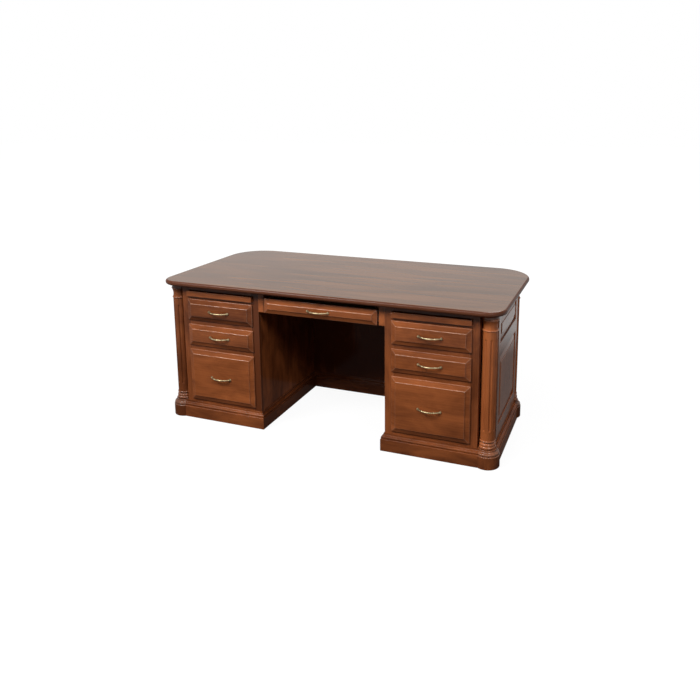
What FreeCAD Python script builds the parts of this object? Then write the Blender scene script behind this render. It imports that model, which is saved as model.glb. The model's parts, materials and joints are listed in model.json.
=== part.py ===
"""Executive desk: two drawer pedestals, fluted corner columns and a top that overhangs the visitor's side.

The origin is on the floor under the middle of the top. X runs along the desk, Y runs from the sitter's side
to the visitor's side and Z is up. Every length is in millimetres.
"""
import FreeCAD, Part
import math
import os

Vector = FreeCAD.Vector

# Overall sizes
top_length = 1828.8
top_depth = 914.4
desk_height = 762.0
front_overhang = 50.2
side_overhang = 41.4
rear_overhang = 214.2
knee_width = 684.0

# Desk top
top_thickness = 25.4
top_edge_flat = 1.4
top_front_corner_radius = 96.0
top_rear_corner_radius = 202.0

# Boards, fits and cuts
board_thickness = 19.0
modesty_thickness = 5.0
front_gap = 0.8
running_gap = 0.5
runner_gap = 0.6
cope_gap = 0.1
panel_gap = 1.0
overrun = 5.0
turning_chords = 2

# Base moulding and the round blocks under the columns
base_thickness = 18.0
base_height = 90.0
base_face_height = 62.0
base_shoulder_radius = 4.0
base_quirk_depth = 6.0
base_quirk_height = 4.0
base_ogee_lip = 3.0
base_cap_reveal = 4.0
base_fillet_height = 3.0
base_ogee_sag_share = 0.2
block_proud = 10.3

# Columns
column_inset = 31.5
column_base_radius = 41.2
column_base_bulge = 4.0
column_base_height = 14.0
column_torus_radius = 39.6
column_torus_bulge = 3.4
column_torus_height = 13.0
column_groove_radius = 33.2
column_groove_height = 6.0
column_ring_bulge = 3.2
column_ring_height = 9.0
shaft_radius = 34.8
pocket_gap = 0.8
flute_count = 8
flute_radius = 5.4
flute_depth = 4.0
flute_lower_margin = 46.0
flute_upper_margin = 36.0

# Capitals
capital_ring_height = 8.0
capital_ring_bulge = 3.4
capital_bell_height = 42.0
capital_bell_radius = 38.6
capital_bell_sag = 3.9
capital_rim_height = 9.0
capital_rim_bulge = 2.2
abacus_height = 20.0
abacus_radius = 37.4

# Face frames and the openings in them
stile_width = 43.5
frame_top_rail = 24.6
frame_slide_rail = 24.0
frame_rail = 40.5
bottom_reveal = 16.0
front_overlay = 9.5

# Writing slides
slide_thickness = 22.5
slide_opening_gap = 4.5
slide_side_gap = 1.5
slide_lip_height = 27.0
slide_lip_thickness = 13.0
slide_rear_gap = 73.0
slide_bearing = 18.0
slide_guide_height = 19.0
slide_grip_length = 120.0
slide_grip_radius = 4.5
slide_grip_setback = 7.0

# Drawer fronts
top_front_height = 116.5
middle_front_height = 116.5
front_edge_thickness = 6.0
front_thickness = 19.0
field_inset = 23.5
field_step = 4.0

# Drawer boxes
box_rear_gap = 72.8
box_board = 12.7
box_bottom_thickness = 6.0
box_bottom_lift = 10.0
box_groove_depth = 6.0
box_lower_gap = 10.0
box_upper_gap = 12.0
file_lip_thickness = 4.5
file_lip_height = 14.0

# Centre drawer
centre_front_height = 79.0
centre_front_drop = 25.6
centre_front_margin = 7.2
centre_rail_width = 30.0
centre_rail_rear_gap = 146.0
centre_box_rear_gap = 40.8
centre_box_lower_gap = 10.0
centre_box_upper_gap = 8.0
centre_runner_setback = 25.0
centre_runner_rear_gap = 48.0

# Steel runners
runner_height = 45.0
runner_thickness = 12.7
runner_wall = 1.5
runner_flange = 9.0
runner_setback = 2.0
runner_rear_gap = 79.0
packer_height = 60.0

# Framed ends and back
panel_stile = 40.0
back_middle_stile = 60.0
panel_bottom_rail = 165.0
panel_middle_rail = 67.0
panel_upper_opening = 123.0
panel_top_rail = 41.6
groove_setback = 6.5
groove_depth = 9.0
tongue_thickness = 6.0
panel_bevel = 36.0
panel_step = 2.5

# Pulls
pull_spacing = 110.0
pull_projection = 26.0
pull_bar_radius = 3.8
pull_chords = 8
pull_bead_share = 0.5
pull_bead_radius = 4.8
pull_bead_length = 7.0
pull_foot_radius = 7.0
pull_neck_radius = 4.6
pull_foot_height = 7.0

# Planes worked out from the sizes above
case_front = -top_depth / 2 + front_overhang
case_back = top_depth / 2 - rear_overhang
case_side = top_length / 2 - side_overhang
under_top = desk_height - top_thickness
knee_face = knee_width / 2
knee_inside = knee_face + board_thickness
frame_back = case_front + board_thickness
back_inside = case_back - board_thickness
modesty_face = back_inside - modesty_thickness
column_x = case_side - column_inset
column_front = case_front + column_inset
column_rear = case_back - column_inset
pocket = column_base_radius + pocket_gap
pocket_x = column_x - pocket
pocket_front = column_front + pocket
pocket_rear = column_rear - pocket
opening_x = (knee_face + stile_width, pocket_x - stile_width)
liner_x = (opening_x[1], opening_x[1] + board_thickness)
block_radius = column_inset + base_thickness + block_proud

# Heights of the openings in a face frame, from the top down
slide_opening = (under_top - frame_top_rail - slide_thickness - slide_opening_gap - slide_opening_gap,
                 under_top - frame_top_rail)
top_opening_high = slide_opening[0] - frame_slide_rail
top_opening = (top_opening_high - top_front_height + front_overlay + front_overlay, top_opening_high)
middle_opening_high = top_opening[0] - frame_rail
middle_opening_low = middle_opening_high - middle_front_height + front_overlay + front_overlay
middle_opening = (middle_opening_low, middle_opening_high)
file_opening = (base_height + bottom_reveal + front_overlay, middle_opening[0] - frame_rail)
drawer_openings = {"top": top_opening, "middle": middle_opening, "file": file_opening}

nodes = {}


def keep(name, *solids):
    """Hold the solids of one named piece for the export."""
    nodes[name] = list(solids)


def mirrored(shape):
    """The same shape on the other side of the desk's middle."""
    return shape.mirror(Vector(0, 0, 0), Vector(1, 0, 0))


def keep_pair(name, *solids):
    """Hold a right-hand piece and its mirror image on the left."""
    keep(name + "_right", *solids)
    keep(name + "_left", *[mirrored(solid) for solid in solids])


def both_sides(*solids):
    """The solids with their mirror images."""
    return list(solids) + [mirrored(solid) for solid in solids]


def one_solid(shape):
    """The single solid that a cut or a fuse leaves."""
    solids = shape.removeSplitter().Solids
    if len(solids) != 1:
        raise ValueError("expected one solid, found %d" % len(solids))
    return solids[0]


def board(x, y, z):
    """A rectangular board between two limits on each axis."""
    lows = [min(pair) for pair in (x, y, z)]
    sizes = [abs(pair[1] - pair[0]) for pair in (x, y, z)]
    return Part.makeBox(*sizes, Vector(*lows))


def prism(points, low, high):
    """A plan outline of straight edges raised between two heights."""
    corners = [Vector(x, y, low) for x, y in points]
    face = Part.Face(Part.makePolygon(corners + corners[:1]))
    return face.extrude(Vector(0, 0, high - low))


def outline(place, start, steps, chords=0):
    """A wire from start through steps: (end,) is a straight edge, (via, end) an arc or that many chords."""
    edges = []
    here = place(*start)
    for step in steps:
        end = place(*step[-1])
        if len(step) == 1:
            edges.append(Part.makeLine(here, end))
        else:
            arc = Part.Arc(here, place(*step[0]), end).toShape()
            points = arc.discretize(Number=chords + 1) if chords else []
            edges += [Part.makeLine(a, b) for a, b in zip(points, points[1:])] or [arc]
        here = end
    return Part.Wire(edges)


def shrunk(pair, amount):
    """Two limits, each moved inwards."""
    return (pair[0] + amount, pair[1] - amount)


def raised_field(x, z, low, high, inset, step):
    """The bevel and raised field of a panel that faces -Y, from depth low out to depth high."""
    field_x = shrunk(x, inset)
    field_z = shrunk(z, inset)
    slope = low - high - step
    bevel = Part.makeWedge(x[0], 0, z[0], field_z[0], field_x[0], x[1], slope, z[1], field_z[1], field_x[1])
    bevel = bevel.mirror(Vector(0, 0, 0), Vector(0, 1, 0))
    bevel.translate(Vector(0, low, 0))
    field = board(field_x, (high + step, high), field_z)
    return [bevel, field]


def desk_top():
    """The solid top with a bullnose edge, tight front corners and sweeping rear ones."""
    corners = []
    for quarter, sign_x, sign_y in ((-1, 1, -1), (0, 1, 1), (1, -1, 1), (2, -1, -1)):
        radius = top_front_corner_radius if sign_y < 0 else top_rear_corner_radius
        centre = Vector(sign_x * (top_length / 2 - radius), sign_y * (top_depth / 2 - radius), under_top)
        circle = Part.Circle(centre, Vector(0, 0, 1), radius)
        corners.append(Part.Arc(circle, quarter * math.pi / 2, (quarter + 1) * math.pi / 2).toShape())
    edges = []
    for index, arc in enumerate(corners):
        edges.append(Part.makeLine(corners[index - 1].lastVertex().Point, arc.firstVertex().Point))
        edges.append(arc)
    slab = Part.Face(Part.Wire(edges)).extrude(Vector(0, 0, top_thickness))
    rims = [edge for edge in slab.Edges if edge.BoundBox.ZLength < top_edge_flat]
    return one_solid(slab.makeFillet((top_thickness - top_edge_flat) / 2, rims))


def base_wire(place, inner, chords=0):
    """The base moulding's section: plain face, round shoulder, quirk and ogee cap."""
    shoulder = base_thickness - base_shoulder_radius
    quirk = base_thickness - base_quirk_depth
    ogee_low = (base_thickness - base_ogee_lip, base_face_height + base_quirk_height)
    ogee_high = (base_cap_reveal, base_height - base_fillet_height)
    ogee_middle = tuple((low + high) / 2 for low, high in zip(ogee_low, ogee_high))
    spans = (ogee_high[1] - ogee_middle[1], ogee_middle[0] - ogee_high[0])
    swell = tuple(span * base_ogee_sag_share for span in spans)
    lower_via = tuple((a + b) / 2 + s for a, b, s in zip(ogee_low, ogee_middle, swell))
    upper_via = tuple((a + b) / 2 - s for a, b, s in zip(ogee_middle, ogee_high, swell))
    bend = base_shoulder_radius * math.sin(math.radians(45))
    shoulder_via = (shoulder + bend, base_face_height - base_shoulder_radius + bend)
    return outline(place, (inner, 0), [
        ((base_thickness, 0),),
        ((base_thickness, base_face_height - base_shoulder_radius),),
        (shoulder_via, (shoulder, base_face_height)),
        ((quirk, base_face_height),),
        ((quirk, ogee_low[1]),),
        (ogee_low,),
        (lower_via, ogee_middle),
        (upper_via, ogee_high),
        ((base_cap_reveal, base_height),),
        ((inner, base_height),),
        ((inner, 0),),
    ], chords)


def base_run(plan, face, outward, axis):
    """A length of base moulding along X or Y, standing out from the plane face and cut to its plan."""
    places = {
        "x": lambda depth, height: Vector(min(x for x, y in plan), face + outward * depth, height),
        "y": lambda depth, height: Vector(face + outward * depth, min(y for x, y in plan), height),
    }
    reach = [max(point[i] for point in plan) - min(point[i] for point in plan) for i in (0, 1)]
    travel = {"x": Vector(reach[0], 0, 0), "y": Vector(0, reach[1], 0)}
    bar = Part.Face(base_wire(places[axis], 0)).extrude(travel[axis])
    return bar.common(prism(plan, 0, base_height))


def turned(wire):
    """A solid of revolution about the Z axis."""
    return Part.Face(wire).revolve(Vector(0, 0, 0), Vector(0, 0, 1), 360)


def block_turning(gap):
    """The round plinth block as it comes off the lathe, grown by a gap."""
    core = block_radius - base_thickness + gap
    return turned(base_wire(lambda depth, height: Vector(core + depth, 0, height), -core, turning_chords))


def turned_about(shape, angle):
    """A copy of a shape turned about the Z axis."""
    copy = shape.copy()
    copy.rotate(Vector(0, 0, 0), Vector(0, 0, 1), angle)
    return copy


def moved(shape, x, y):
    """A copy of a shape at another place on the floor plan."""
    copy = shape.copy()
    copy.translate(Vector(x, y, 0))
    return copy


def base_blocks():
    """Four round blocks, each cut away where the corner of the case stands."""
    blocks = []
    near = column_x - block_radius - overrun
    heights = (-overrun, base_height + overrun)
    for y, face, inner in ((column_front, case_front, pocket_front), (column_rear, case_back, pocket_rear)):
        block = moved(block_turning(0), column_x, y)
        far = y + (inner - y) / abs(inner - y) * (block_radius + overrun)
        behind_frame = board((near, pocket_x), (face, far), heights)
        behind_end = board((near, case_side), (inner, far), heights)
        blocks.append(one_solid(block.cut([behind_frame, behind_end])))
    return both_sides(*blocks)


def base_moulding():
    """The base boards on the front, ends and back, coped to the round blocks."""
    ahead = case_front - base_thickness
    beside = case_side + base_thickness
    behind = case_back + base_thickness
    front = base_run([(knee_face, case_front), (column_x, case_front), (column_x, ahead),
                      (knee_face - base_thickness, ahead)], case_front, -1, "x")
    end = base_run([(case_side, column_front), (beside, column_front), (beside, column_rear),
                    (case_side, column_rear)], case_side, 1, "y")
    back = base_run([(-column_x, case_back), (column_x, case_back), (column_x, behind),
                     (-column_x, behind)], case_back, 1, "x")
    block = block_turning(cope_gap)
    front_block = moved(block, column_x, column_front)
    rear_block = moved(block, column_x, column_rear)
    front = one_solid(front.cut(front_block))
    end = one_solid(end.cut([front_block, rear_block]))
    back = one_solid(back.cut([rear_block, mirrored(rear_block)]))
    return both_sides(front), both_sides(end), back


def base_knee():
    """The base boards round the inside of the kneehole, mitred at every corner."""
    inner = knee_face - base_thickness
    ahead = case_front - base_thickness
    before = modesty_face - base_thickness
    side = base_run([(knee_face, case_front), (knee_face, modesty_face), (inner, before), (inner, ahead)],
                    knee_face, -1, "y")
    back = base_run([(-knee_face, modesty_face), (knee_face, modesty_face), (inner, before),
                     (-inner, before)], modesty_face, -1, "x")
    return both_sides(one_solid(side)) + [one_solid(back)]


def column():
    """A turned column with two base rings, a fluted shaft and a bell capital, on the Z axis."""
    base_in = column_base_radius - column_base_bulge
    torus_in = column_torus_radius - column_torus_bulge
    torus_low = base_height + column_base_height
    groove_low = torus_low + column_torus_height
    ring_low = groove_low + column_groove_height
    shaft_low = ring_low + column_ring_height
    abacus_low = under_top - abacus_height
    rim_low = abacus_low - capital_rim_height
    bell_low = rim_low - capital_bell_height
    shaft_high = bell_low - capital_ring_height
    bell_via = (shaft_radius + capital_bell_radius) / 2 - capital_bell_sag
    wire = outline(lambda radius, height: Vector(radius, 0, height), (0, base_height), [
        ((base_in, base_height),),
        ((column_base_radius, base_height + column_base_height / 2), (base_in, torus_low)),
        ((torus_in, torus_low),),
        ((column_torus_radius, torus_low + column_torus_height / 2), (torus_in, groove_low)),
        ((column_groove_radius, groove_low),),
        ((column_groove_radius, ring_low),),
        ((shaft_radius, ring_low),),
        ((shaft_radius + column_ring_bulge, ring_low + column_ring_height / 2), (shaft_radius, shaft_low)),
        ((shaft_radius, shaft_high),),
        ((shaft_radius + capital_ring_bulge, shaft_high + capital_ring_height / 2),
         (shaft_radius, bell_low)),
        ((bell_via, bell_low + capital_bell_height / 2), (capital_bell_radius, rim_low)),
        ((capital_bell_radius + capital_rim_bulge, rim_low + capital_rim_height / 2),
         (capital_bell_radius, abacus_low)),
        ((abacus_radius, abacus_low),),
        ((abacus_radius, under_top),),
        ((0, under_top),),
        ((0, base_height),),
    ], turning_chords)
    shaft = turned(wire)
    flute_low = shaft_low + flute_lower_margin
    flute_high = shaft_high - flute_upper_margin
    floor = shaft_radius - flute_depth
    outside = shaft_radius + flute_depth
    corners = [(floor, flute_low + flute_depth), (outside, flute_low - flute_depth),
               (outside, flute_high + flute_depth), (floor, flute_high - flute_depth)]
    points = [Vector(radius, -flute_radius, height) for radius, height in corners]
    reach = Vector(0, flute_radius + flute_radius, 0)
    ramps = Part.Face(Part.makePolygon(points + points[:1])).extrude(reach)
    gouge = Part.makeCylinder(flute_radius, under_top, Vector(floor + flute_radius, 0, 0)).common(ramps)
    angles = [360 * (index + 1 / 2) / flute_count for index in range(flute_count)]
    return one_solid(shaft.cut([turned_about(gouge, angle) for angle in angles]))


def face_frame():
    """The right pedestal's face frame: two stiles and five rails."""
    depth = (case_front, frame_back)
    widths = ((knee_face, opening_x[0]), (opening_x[1], pocket_x))
    stiles = [board(width, depth, (0, under_top)) for width in widths]
    openings = (file_opening, middle_opening, top_opening, slide_opening)
    levels = [0] + [level for opening in openings for level in opening] + [under_top]
    rails = [board(opening_x, depth, levels[i:i + 2]) for i in range(0, len(levels), 2)]
    return stiles + rails


def corner_posts():
    """Square corner posts of two boards in one, which make the pockets for the columns."""
    posts = []
    for wall, inner, turn in ((frame_back, pocket_front, 1), (back_inside, pocket_rear, -1)):
        far = inner + turn * board_thickness
        side = case_side - board_thickness
        plan = [(liner_x[1], wall), (pocket_x, wall), (pocket_x, inner), (side, inner), (side, far),
                (liner_x[1], far)]
        posts.append(prism(plan, 0, under_top))
    return both_sides(*posts)


def panelled_frame(limits, bays, face):
    """Stiles, rails and raised panels of a frame that faces -Y, with its face at depth face."""
    heights = (0, under_top)
    rows = [(panel_bottom_rail, under_top - panel_top_rail - panel_upper_opening - panel_middle_rail),
            (under_top - panel_top_rail - panel_upper_opening, under_top - panel_top_rail)]
    depth = (face, face + board_thickness)
    layer = (face + groove_setback, face + groove_setback + tongue_thickness)
    stile_edges = [limits[0]] + [edge for bay in bays for edge in bay] + [limits[1]]
    rail_edges = [heights[0]] + [edge for row in rows for edge in row] + [heights[1]]
    frame = []
    panels = []
    for i in range(0, len(stile_edges), 2):
        stile = board(stile_edges[i:i + 2], depth, heights)
        grooves = [board((bay[0] - groove_depth, bay[1] + groove_depth), layer, heights) for bay in bays]
        frame.append(one_solid(stile.cut(grooves)))
    for bay in bays:
        reach = (bay[0] - groove_depth, bay[1] + groove_depth)
        grooves = [board(reach, layer, (row[0] - groove_depth, row[1] + groove_depth)) for row in rows]
        for i in range(0, len(rail_edges), 2):
            height = rail_edges[i:i + 2]
            rail = board(bay, depth, height).fuse(board(reach, layer, height))
            frame.append(one_solid(rail.cut(grooves)))
        for row in rows:
            grip = groove_depth - panel_gap
            tongue = board(shrunk(bay, -grip), layer, shrunk(row, -grip))
            relief = raised_field(bay, row, layer[0], face, panel_bevel, panel_step)
            panels.append(one_solid(tongue.fuse(relief)))
    return frame, panels


def drawer_front(x, z):
    """A lipped drawer front with a bevelled border and a raised field."""
    back = case_front - front_gap
    plate = board(x, (back, back - front_edge_thickness), z)
    relief = raised_field(x, z, back - front_edge_thickness, back - front_thickness, field_inset, field_step)
    return one_solid(plate.fuse(relief))


def drawer_box(x, z, rear, lipped):
    """Two sides, a front, a back and a grooved-in bottom."""
    y = (case_front - front_gap, rear)
    sides = [board((x[0], x[0] + box_board), y, z), board((x[1] - box_board, x[1]), y, z)]
    between = shrunk(x, box_board)
    ends = [board(between, (y[0], y[0] + box_board), z), board(between, (y[1] - box_board, y[1]), z)]
    low = z[0] + box_bottom_lift
    grip = box_board - box_groove_depth
    bottom = board(shrunk(x, grip), shrunk(y, grip), (low, low + box_bottom_thickness))
    rabbets = []
    if lipped:
        lip = (z[1] - file_lip_height, z[1] + overrun)
        rabbets = [board(shrunk(x, file_lip_thickness), shrunk(y, box_board), lip)]
    sides = [one_solid(side.cut([bottom] + rabbets)) for side in sides]
    ends = [one_solid(end.cut(bottom)) for end in ends]
    return sides + ends + [bottom]


def channel(web, flange, height, y, middle):
    """A steel channel along Y, from its web's outer face to its flanges' edges."""
    inside = web + runner_wall * (flange - web) / abs(flange - web)
    low = middle - height / 2
    high = middle + height / 2
    corners = [(web, low), (flange, low), (flange, low + runner_wall), (inside, low + runner_wall),
               (inside, high - runner_wall), (flange, high - runner_wall), (flange, high), (web, high)]
    points = [Vector(x, y[0], z) for x, z in corners]
    return Part.Face(Part.makePolygon(points + points[:1])).extrude(Vector(0, y[1] - y[0], 0))


def runner(wall, inward, y, middle, members):
    """The members of one runner from the case wall inwards: case, optional middle, and drawer."""
    step = runner_wall + runner_gap
    made = [channel(wall, wall + inward * runner_flange, runner_height, y, middle)]
    for index in range(1, members - 1):
        web = wall + inward * index * step
        height = runner_height - index * (step + step)
        made.append(channel(web, wall + inward * (runner_flange + runner_gap), height, y, middle))
    nested = members - 1
    height = runner_height - nested * (step + step)
    made.append(channel(wall + inward * runner_thickness, wall + inward * nested * step, height, y, middle))
    return made


def writing_slide():
    """The right pull-out writing board, with a lip on its front edge and a finger grip under the lip."""
    x = shrunk(opening_x, slide_side_gap)
    back = case_front - front_gap
    front = back - slide_lip_thickness
    high = slide_opening[0] + slide_opening_gap + slide_thickness
    leaf = board(x, (back, back_inside - slide_rear_gap), (high - slide_thickness, high))
    lip = board(shrunk(opening_x, -front_overlay), (back, front), (high - slide_lip_height, high))
    middle = (x[0] + x[1]) / 2
    start = Vector(middle - slide_grip_length / 2, front + slide_grip_setback, high - slide_lip_height)
    grip = Part.makeCylinder(slide_grip_radius, slide_grip_length, start, Vector(1, 0, 0))
    return one_solid(leaf.fuse(lip).cut(grip))


def slide_supports():
    """The guides under the right writing board, and the cleats over it that also hold the top."""
    y = (frame_back, back_inside)
    low = slide_opening[0] + slide_opening_gap
    guide = (low - running_gap - slide_guide_height, low - running_gap)
    cleat = (low + slide_thickness + running_gap, under_top)
    near_x = (knee_inside, opening_x[0] + slide_side_gap + slide_bearing)
    far_x = (liner_x[0] - slide_side_gap - slide_bearing, liner_x[0])
    guides = [board(x, y, guide) for x in (near_x, far_x)]
    cleats = [board(x, y, cleat) for x in (near_x, far_x)]
    return guides, cleats


def pull():
    """A bow pull on two flared feet, with a bead on each arm: seat at the origin, bar towards -Y."""
    half = pull_spacing / 2
    bend = (half ** 2 + pull_projection ** 2) / (pull_projection + pull_projection)
    turn = math.asin(half / bend)

    def along(share):
        angle = turn * share
        return Vector(bend * math.sin(angle), bend - pull_projection - bend * math.cos(angle), 0)

    points = [along(2 * index / pull_chords - 1) for index in range(pull_chords + 1)]
    ring = Part.Wire(Part.makeCircle(pull_bar_radius, points[0], points[1] - points[0]))
    bar = Part.makePolygon(points).makePipeShell([ring], True, False, 1)
    added = []
    for share in (-pull_bead_share, pull_bead_share):
        heading = Vector(math.cos(turn * share), math.sin(turn * share), 0)
        start = along(share) - heading * (pull_bead_length / 2)
        added.append(Part.makeCylinder(pull_bead_radius, pull_bead_length, start, heading))
    for x in (-half, half):
        seat = Vector(x, 0, 0)
        foot = Part.makeCone(pull_foot_radius, pull_neck_radius, pull_foot_height, seat, Vector(0, -1, 0))
        added.append(foot)
    reach = half + pull_foot_radius + overrun
    behind = board((-reach, reach), (0, reach), (-reach, reach))
    return one_solid(bar.fuse(added).cut(behind))


def placed_pull(x, z):
    """A pull on the field of a drawer front, in the middle of the front's limits."""
    copy = pull_shape.copy()
    copy.translate(Vector((x[0] + x[1]) / 2, case_front - front_gap - front_thickness, (z[0] + z[1]) / 2))
    return copy


def build_case():
    """Everything that stands still."""
    keep("desk_top", desk_top())
    keep_pair("face_frame", *face_frame())
    keep_pair("knee_side", board((knee_face, knee_inside), (frame_back, back_inside), (0, under_top)))
    keep("modesty_panel", board((-knee_face, knee_face), (modesty_face, back_inside), (0, under_top)))
    keep("pedestal_floors", *both_sides(board((knee_inside, liner_x[0]), (frame_back, back_inside),
                                              (base_height, base_height + board_thickness))))
    keep("drawer_liners", *both_sides(board(liner_x, (frame_back, back_inside), (0, under_top))))
    keep("corner_posts", *corner_posts())
    end_limits = (pocket_front, pocket_rear)
    frame, panels = panelled_frame(end_limits, [shrunk(end_limits, panel_stile)], -case_side)
    keep_pair("side_frame", *[turned_about(solid, 90) for solid in frame])
    keep_pair("side_panels", *[turned_about(solid, 90) for solid in panels])
    middle_edge = knee_face + board_thickness / 2 + back_middle_stile / 2
    centre_edge = middle_edge - back_middle_stile
    far_edge = pocket_x - stile_width
    bays = [(-far_edge, -middle_edge), (-centre_edge, centre_edge), (middle_edge, far_edge)]
    frame, panels = panelled_frame((-pocket_x, pocket_x), bays, -case_back)
    keep("back_frame", *[turned_about(solid, 180) for solid in frame])
    keep("back_panels", *[turned_about(solid, 180) for solid in panels])
    keep("base_blocks", *base_blocks())
    fronts, ends, back = base_moulding()
    keep("base_front", *fronts)
    keep("base_ends", *ends)
    keep("base_back", back)
    keep("base_knee", *base_knee())
    shape = column()
    keep("columns", *both_sides(*[moved(shape, column_x, y) for y in (column_front, column_rear)]))
    guides, cleats = slide_supports()
    keep("slide_guides", *both_sides(*guides))
    keep("top_cleats", *both_sides(*cleats))


def build_pedestals():
    """The writing slides, the six pedestal drawers and the runners that carry them."""
    keep_pair("writing_slide", writing_slide())
    front_x = shrunk(opening_x, -front_overlay)
    box_x = shrunk(opening_x, runner_thickness)
    y = (case_front + runner_setback, back_inside - runner_rear_gap)
    box_rear = back_inside - box_rear_gap
    packers = []
    case_members = []
    for name, opening in drawer_openings.items():
        members = 3 if name == "file" else 2
        front_z = shrunk(opening, -front_overlay)
        box_z = (opening[0] + box_lower_gap, opening[1] - box_upper_gap)
        middle = (box_z[0] + box_z[1]) / 2
        keep_pair("front_" + name, drawer_front(front_x, front_z))
        keep_pair("box_" + name, *drawer_box(box_x, box_z, box_rear, name == "file"))
        keep_pair("pull_" + name, placed_pull(front_x, front_z))
        near = runner(opening_x[0], 1, y, middle, members)
        far = runner(opening_x[1], -1, y, middle, members)
        keep_pair("runner_" + name, near[-1], far[-1])
        if members == 3:
            keep_pair("telescope_file", near[1], far[1])
        case_members += [near[0], far[0]]
        packers.append(board((knee_inside, opening_x[0]), (frame_back, y[1]),
                             (middle - packer_height / 2, middle + packer_height / 2)))
    keep("runner_packers", *both_sides(*packers))
    return both_sides(*case_members)


def build_centre():
    """The pencil drawer over the kneehole and the two rails that carry it."""
    rail_x = knee_face - centre_rail_width
    front_high = under_top - centre_front_drop
    front_z = (front_high - centre_front_height, front_high)
    box_x = (runner_thickness - rail_x, rail_x - runner_thickness)
    front_x = shrunk(box_x, -centre_front_margin)
    box_z = (front_z[0] + centre_box_lower_gap, front_z[1] - centre_box_upper_gap)
    middle = (box_z[0] + box_z[1]) / 2
    rail_y = (case_front, modesty_face - centre_rail_rear_gap)
    y = (case_front + centre_runner_setback, rail_y[1] - centre_runner_rear_gap)
    keep("centre_drawer_rails", *both_sides(board((rail_x, knee_face), rail_y, (front_z[0], under_top))))
    keep("front_centre", drawer_front(front_x, front_z))
    keep("box_centre", *drawer_box(box_x, box_z, rail_y[1] - centre_box_rear_gap, False))
    keep("pull_centre", placed_pull(front_x, front_z))
    members = runner(rail_x, -1, y, middle, 2)
    keep("runner_centre", *both_sides(members[1]))
    return both_sides(members[0])


def export():
    """Write each named piece to its own file."""
    os.makedirs("parts", exist_ok=True)
    for name, solids in nodes.items():
        for solid in solids:
            if not solid.isValid() or solid.Volume <= 0:
                print("bad solid in", name)
        shape = solids[0] if len(solids) == 1 else Part.makeCompound(solids)
        shape.exportStep("parts/%s.step" % name)
    print(len(nodes), "nodes,", sum(len(solids) for solids in nodes.values()), "solids")


pull_shape = pull()
build_case()
runner_members = build_pedestals() + build_centre()
keep("case_runners", *runner_members)
export()
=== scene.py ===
# %% [markdown]
# An executive desk in stained cherry. The CAD frame gives every piece its place and its motion. This file
# gives the pieces their eased edges, grain, brass and light. Everything is in metres, in the CAD's own
# frame: X along the desk, Y from the sitter to the visitor, Z up from the floor.

# %% Load the frame
import json
import math

import bmesh
import bpy
from mathutils import Matrix, Vector


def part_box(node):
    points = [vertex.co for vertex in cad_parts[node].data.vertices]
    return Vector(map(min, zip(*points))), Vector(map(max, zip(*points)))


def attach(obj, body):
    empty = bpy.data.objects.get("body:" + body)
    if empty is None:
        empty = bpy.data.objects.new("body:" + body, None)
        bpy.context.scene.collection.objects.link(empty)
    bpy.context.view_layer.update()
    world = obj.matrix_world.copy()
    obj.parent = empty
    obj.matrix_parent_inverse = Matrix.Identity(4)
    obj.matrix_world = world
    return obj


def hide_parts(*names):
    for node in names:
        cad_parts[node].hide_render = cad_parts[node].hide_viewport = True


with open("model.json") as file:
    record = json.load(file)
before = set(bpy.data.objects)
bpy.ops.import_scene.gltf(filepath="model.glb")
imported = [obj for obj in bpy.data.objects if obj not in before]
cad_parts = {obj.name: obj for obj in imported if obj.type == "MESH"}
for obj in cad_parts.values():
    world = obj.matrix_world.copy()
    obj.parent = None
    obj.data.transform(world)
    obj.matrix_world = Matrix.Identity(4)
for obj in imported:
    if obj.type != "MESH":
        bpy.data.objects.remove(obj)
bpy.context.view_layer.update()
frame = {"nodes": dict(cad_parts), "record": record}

nodes = frame["nodes"]
bodies = frame["record"]["behaviour"]["bodies"]
body_of = {node: body for body, group in bodies.items() for node in group}

# %% [markdown]
# A Blender material is a tree of nodes. Each node could be added, set and linked in lines of its own. The
# helpers below do that in one call, so that the finishes after them read like recipes.

# %% Helpers that wire nodes
def feed(tree, node, values):
    """Set a node's inputs to plain values, or link them to sockets."""
    for key, value in values.items():
        if isinstance(value, bpy.types.NodeSocket):
            tree.links.new(value, node.inputs[key])
        else:
            node.inputs[key].default_value = value


def add_node(tree, kind, values=None, **settings):
    """A new node with its settings made and its inputs fed."""
    node = tree.nodes.new(kind)
    for name, value in settings.items():
        setattr(node, name, value)
    feed(tree, node, values or {})
    return node


def math_node(tree, operation, first, second, clamp=False):
    """A math node's output."""
    values = {0: first, 1: second}
    return add_node(tree, "ShaderNodeMath", values, operation=operation, use_clamp=clamp).outputs[0]


def blend_colour(tree, factor, first, second, mode="MIX"):
    """A colour mix's output. The Mix node's colours are its inputs 6 and 7 and its output 2."""
    values = {"Factor": factor, 6: first, 7: second}
    return add_node(tree, "ShaderNodeMix", values, data_type="RGBA", blend_type=mode).outputs[2]


def remap(tree, value, low, high, to_low=0.0, to_high=1.0):
    """A clamped change of range."""
    values = {"Value": value, "From Min": low, "From Max": high, "To Min": to_low, "To Max": to_high}
    return add_node(tree, "ShaderNodeMapRange", values).outputs[0]


def stretched(tree, place, scale):
    """Coordinates multiplied axis by axis."""
    return add_node(tree, "ShaderNodeVectorMath", {0: place, 1: scale}, operation="MULTIPLY").outputs[0]


def noise(tree, place, scale, detail, roughness=0.5, distortion=0.0):
    """A noise texture's value."""
    values = {"Vector": place, "Scale": scale, "Detail": detail, "Roughness": roughness,
              "Distortion": distortion}
    return add_node(tree, "ShaderNodeTexNoise", values).outputs["Fac"]


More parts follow.
